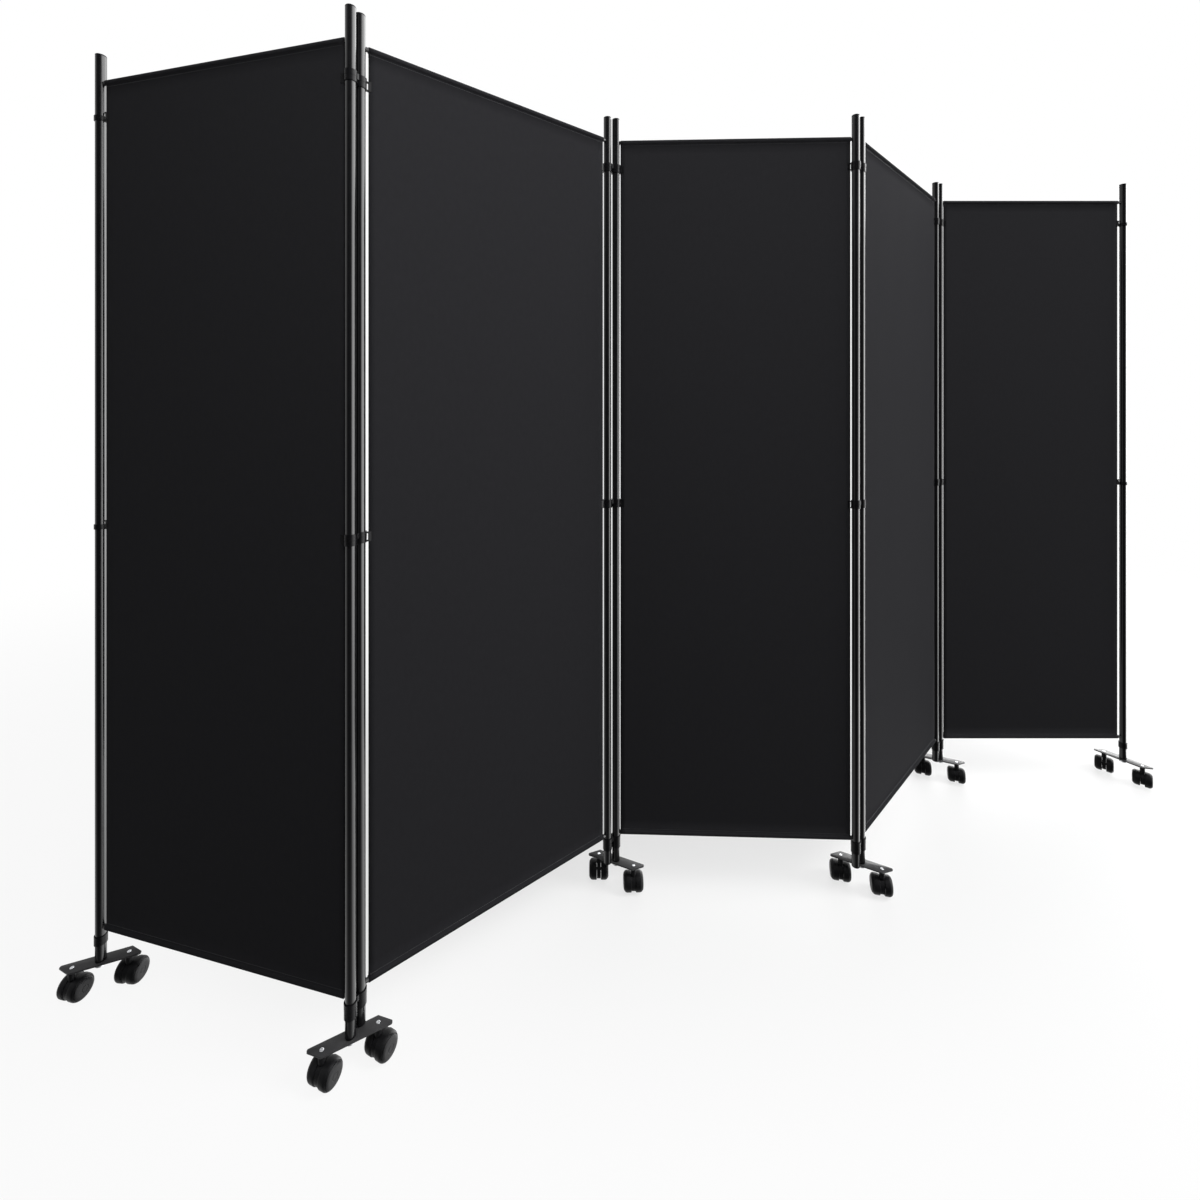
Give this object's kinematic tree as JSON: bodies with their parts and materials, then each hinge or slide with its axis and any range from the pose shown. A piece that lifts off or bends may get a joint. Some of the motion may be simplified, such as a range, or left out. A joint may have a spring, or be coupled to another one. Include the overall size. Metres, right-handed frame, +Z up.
{
  "type": "folding privacy screen",
  "caption": "Folding room divider with cloth panels between round black posts, linked by two-ring clips, on turning foot plates with twin-wheel casters.",
  "frame": {"origin": "on the floor, in the middle of the standing screen", "axes": "+X along the screen's length to the right end seen from the front, +Y to the back, +Z up"},
  "size_m": [2.6654, 0.8775, 1.8],
  "materials": {
    "post_black": "semi-gloss black powder coat",
    "rod_black": "satin black",
    "black_cloth": "matt woven polyester",
    "black_plastic": "satin moulded",
    "foot_steel": "semi-gloss dark grey",
    "zinc_steel": "bright zinc",
    "caster_plastic": "satin moulded"
  },
  "bodies": {
    "panel_1": {"panel_1_posts": "post_black", "panel_1_rods": "rod_black", "panel_1_fabric": "black_cloth", "panel_1_fittings": "black_plastic", "foot_1_pivot_screw": "zinc_steel", "foot_2_pivot_screw": "zinc_steel"},
    "panel_2": {"panel_2_posts": "post_black", "panel_2_rods": "rod_black", "panel_2_fabric": "black_cloth", "panel_2_fittings": "black_plastic"},
    "panel_3": {"panel_3_posts": "post_black", "panel_3_rods": "rod_black", "panel_3_fabric": "black_cloth", "panel_3_fittings": "black_plastic", "foot_3_pivot_screw": "zinc_steel"},
    "panel_4": {"panel_4_posts": "post_black", "panel_4_rods": "rod_black", "panel_4_fabric": "black_cloth", "panel_4_fittings": "black_plastic", "foot_4_pivot_screw": "zinc_steel"},
    "panel_5": {"panel_5_posts": "post_black", "panel_5_rods": "rod_black", "panel_5_fabric": "black_cloth", "panel_5_fittings": "black_plastic", "foot_5_pivot_screw": "zinc_steel", "foot_6_pivot_screw": "zinc_steel"},
    "joint_1": {"joint_1_clips": "black_plastic"},
    "joint_2": {"joint_2_clips": "black_plastic"},
    "joint_3": {"joint_3_clips": "black_plastic"},
    "joint_4": {"joint_4_clips": "black_plastic"},
    "foot_1": {"foot_1_plate": "foot_steel"},
    "foot_2": {"foot_2_plate": "foot_steel"},
    "foot_3": {"foot_3_plate": "foot_steel"},
    "foot_4": {"foot_4_plate": "foot_steel"},
    "foot_5": {"foot_5_plate": "foot_steel"},
    "foot_6": {"foot_6_plate": "foot_steel"},
    "caster_1a": {"foot_1_hood_a": "caster_plastic"},
    "wheels_1a": {"foot_1_wheels_a": "caster_plastic"},
    "caster_1b": {"foot_1_hood_b": "caster_plastic"},
    "wheels_1b": {"foot_1_wheels_b": "caster_plastic"},
    "caster_2a": {"foot_2_hood_a": "caster_plastic"},
    "wheels_2a": {"foot_2_wheels_a": "caster_plastic"},
    "caster_2b": {"foot_2_hood_b": "caster_plastic"},
    "wheels_2b": {"foot_2_wheels_b": "caster_plastic"},
    "caster_3a": {"foot_3_hood_a": "caster_plastic"},
    "wheels_3a": {"foot_3_wheels_a": "caster_plastic"},
    "caster_3b": {"foot_3_hood_b": "caster_plastic"},
    "wheels_3b": {"foot_3_wheels_b": "caster_plastic"},
    "caster_4a": {"foot_4_hood_a": "caster_plastic"},
    "wheels_4a": {"foot_4_wheels_a": "caster_plastic"},
    "caster_4b": {"foot_4_hood_b": "caster_plastic"},
    "wheels_4b": {"foot_4_wheels_b": "caster_plastic"},
    "caster_5a": {"foot_5_hood_a": "caster_plastic"},
    "wheels_5a": {"foot_5_wheels_a": "caster_plastic"},
    "caster_5b": {"foot_5_hood_b": "caster_plastic"},
    "wheels_5b": {"foot_5_wheels_b": "caster_plastic"},
    "caster_6a": {"foot_6_hood_a": "caster_plastic"},
    "wheels_6a": {"foot_6_wheels_a": "caster_plastic"},
    "caster_6b": {"foot_6_hood_b": "caster_plastic"},
    "wheels_6b": {"foot_6_wheels_b": "caster_plastic"}
  },
  "joints": [
    {"name": "fold_2b", "type": "hinge", "parent": "panel_3", "child": "joint_2", "pos_m": [-0.26648, -0.0128, 0], "axis": [0, 0, 1], "range_deg": [-96, 44]},
    {"name": "fold_2a", "type": "hinge", "parent": "joint_2", "child": "panel_2", "pos_m": [-0.28658, -0.02175, 0], "axis": [0, 0, 1], "range_deg": [-105, 75]},
    {"name": "fold_1b", "type": "hinge", "parent": "panel_2", "child": "joint_1", "pos_m": [-0.71789, -0.37102, 0], "axis": [0, 0, -1], "range_deg": [-39, 101]},
    {"name": "fold_1a", "type": "hinge", "parent": "joint_1", "child": "panel_1", "pos_m": [-0.72542, -0.3917, 0], "axis": [0, 0, -1], "range_deg": [-174, 6]},
    {"name": "fold_3a", "type": "hinge", "parent": "panel_3", "child": "joint_3", "pos_m": [0.28818, -0.03217, 0], "axis": [0, 0, 1], "range_deg": [-127, 53]},
    {"name": "fold_3b", "type": "hinge", "parent": "joint_3", "child": "panel_4", "pos_m": [0.3062, -0.01955, 0], "axis": [0, 0, 1], "range_deg": [-79, 61]},
    {"name": "fold_4a", "type": "hinge", "parent": "panel_4", "child": "joint_4", "pos_m": [0.70544, 0.36598, 0], "axis": [0, 0, -1], "range_deg": [-104, 76]},
    {"name": "fold_4b", "type": "hinge", "parent": "joint_4", "child": "panel_5", "pos_m": [0.72449, 0.37698, 0], "axis": [0, 0, -1], "range_deg": [-100, 40]},
    {"name": "foot_1_turn", "type": "hinge", "parent": "panel_1", "child": "foot_1", "pos_m": [-1.26393, -0.25743, 0.0605], "axis": [0, 0, 1], "continuous": true},
    {"name": "foot_2_turn", "type": "hinge", "parent": "panel_1", "child": "foot_2", "pos_m": [-0.72542, -0.3917, 0.0605], "axis": [0, 0, 1], "continuous": true},
    {"name": "foot_3_turn", "type": "hinge", "parent": "panel_3", "child": "foot_3", "pos_m": [-0.26648, -0.0128, 0.0605], "axis": [0, 0, 1], "continuous": true},
    {"name": "foot_4_turn", "type": "hinge", "parent": "panel_4", "child": "foot_4", "pos_m": [0.3062, -0.01955, 0.0605], "axis": [0, 0, 1], "continuous": true},
    {"name": "foot_5_turn", "type": "hinge", "parent": "panel_5", "child": "foot_5", "pos_m": [0.72449, 0.37698, 0.0605], "axis": [0, 0, 1], "continuous": true},
    {"name": "foot_6_turn", "type": "hinge", "parent": "panel_5", "child": "foot_6", "pos_m": [1.27949, 0.37698, 0.0605], "axis": [0, 0, 1], "continuous": true},
    {"name": "caster_1a_swivel", "type": "hinge", "parent": "foot_1", "child": "caster_1a", "pos_m": [-1.30473, -0.27391, 0.048], "axis": [0, 0, 1], "continuous": true},
    {"name": "wheels_1a_spin", "type": "hinge", "parent": "caster_1a", "child": "wheels_1a", "pos_m": [-1.30338, -0.26755, 0.021], "axis": [0.9781, -0.2079, 0], "continuous": true},
    {"name": "caster_1b_swivel", "type": "hinge", "parent": "foot_1", "child": "caster_1b", "pos_m": [-1.22314, -0.24095, 0.048], "axis": [0, 0, 1], "continuous": true},
    {"name": "wheels_1b_spin", "type": "hinge", "parent": "caster_1b", "child": "wheels_1b", "pos_m": [-1.22268, -0.23446, 0.021], "axis": [0.9976, -0.0698, 0], "continuous": true},
    {"name": "caster_2a_swivel", "type": "hinge", "parent": "foot_2", "child": "caster_2a", "pos_m": [-0.7639, -0.41303, 0.048], "axis": [0, 0, 1], "continuous": true},
    {"name": "wheels_2a_spin", "type": "hinge", "parent": "caster_2a", "child": "wheels_2a", "pos_m": [-0.76147, -0.407, 0.021], "axis": [0.9272, -0.3746, 0], "continuous": true},
    {"name": "caster_2b_swivel", "type": "hinge", "parent": "foot_2", "child": "caster_2b", "pos_m": [-0.68693, -0.37036, 0.048], "axis": [0, 0, 1], "continuous": true},
    {"name": "wheels_2b_spin", "type": "hinge", "parent": "caster_2b", "child": "wheels_2b", "pos_m": [-0.68409, -0.36452, 0.021], "axis": [0.8988, -0.4384, 0], "continuous": true},
    {"name": "caster_3a_swivel", "type": "hinge", "parent": "foot_3", "child": "caster_3a", "pos_m": [-0.30667, 0.0051, 0.048], "axis": [0, 0, 1], "continuous": true},
    {"name": "wheels_3a_spin", "type": "hinge", "parent": "caster_3a", "child": "wheels_3a", "pos_m": [-0.30667, 0.0116, 0.021], "axis": [1, 0, 0], "continuous": true},
    {"name": "caster_3b_swivel", "type": "hinge", "parent": "foot_3", "child": "caster_3b", "pos_m": [-0.22628, -0.0307, 0.048], "axis": [0, 0, 1], "continuous": true},
    {"name": "wheels_3b_spin", "type": "hinge", "parent": "caster_3b", "child": "wheels_3b", "pos_m": [-0.22651, -0.0242, 0.021], "axis": [0.9994, 0.0349, 0], "continuous": true},
    {"name": "caster_4a_swivel", "type": "hinge", "parent": "foot_4", "child": "caster_4a", "pos_m": [0.26736, 0.00111, 0.048], "axis": [0, 0, 1], "continuous": true},
    {"name": "wheels_4a_spin", "type": "hinge", "parent": "caster_4a", "child": "wheels_4a", "pos_m": [0.26893, 0.00741, 0.021], "axis": [0.9703, -0.2419, 0], "continuous": true},
    {"name": "caster_4b_swivel", "type": "hinge", "parent": "foot_4", "child": "caster_4b", "pos_m": [0.34505, -0.04021, 0.048], "axis": [0, 0, 1], "continuous": true},
    {"name": "wheels_4b_spin", "type": "hinge", "parent": "caster_4b", "child": "wheels_4b", "pos_m": [0.34663, -0.0339, 0.021], "axis": [0.9703, -0.2419, 0], "continuous": true},
    {"name": "caster_5a_swivel", "type": "hinge", "parent": "foot_5", "child": "caster_5a", "pos_m": [0.68461, 0.39558, 0.048], "axis": [0, 0, 1], "continuous": true},
    {"name": "wheels_5a_spin", "type": "hinge", "parent": "caster_5a", "child": "wheels_5a", "pos_m": [0.68705, 0.40161, 0.021], "axis": [0.9272, -0.3746, 0], "continuous": true},
    {"name": "caster_5b_swivel", "type": "hinge", "parent": "foot_5", "child": "caster_5b", "pos_m": [0.76437, 0.35839, 0.048], "axis": [0, 0, 1], "continuous": true},
    {"name": "wheels_5b_spin", "type": "hinge", "parent": "caster_5b", "child": "wheels_5b", "pos_m": [0.76711, 0.36428, 0.021], "axis": [0.9063, -0.4226, 0], "continuous": true},
    {"name": "caster_6a_swivel", "type": "hinge", "parent": "foot_6", "child": "caster_6a", "pos_m": [1.25425, 0.41303, 0.048], "axis": [0, 0, 1], "continuous": true},
    {"name": "wheels_6a_spin", "type": "hinge", "parent": "caster_6a", "child": "wheels_6a", "pos_m": [1.2586, 0.41786, 0.021], "axis": [0.7431, -0.6691, 0], "continuous": true},
    {"name": "caster_6b_swivel", "type": "hinge", "parent": "foot_6", "child": "caster_6b", "pos_m": [1.30473, 0.34094, 0.048], "axis": [0, 0, 1], "continuous": true},
    {"name": "wheels_6b_spin", "type": "hinge", "parent": "caster_6b", "child": "wheels_6b", "pos_m": [1.30908, 0.34577, 0.021], "axis": [0.7431, -0.6691, 0], "continuous": true}
  ]
}
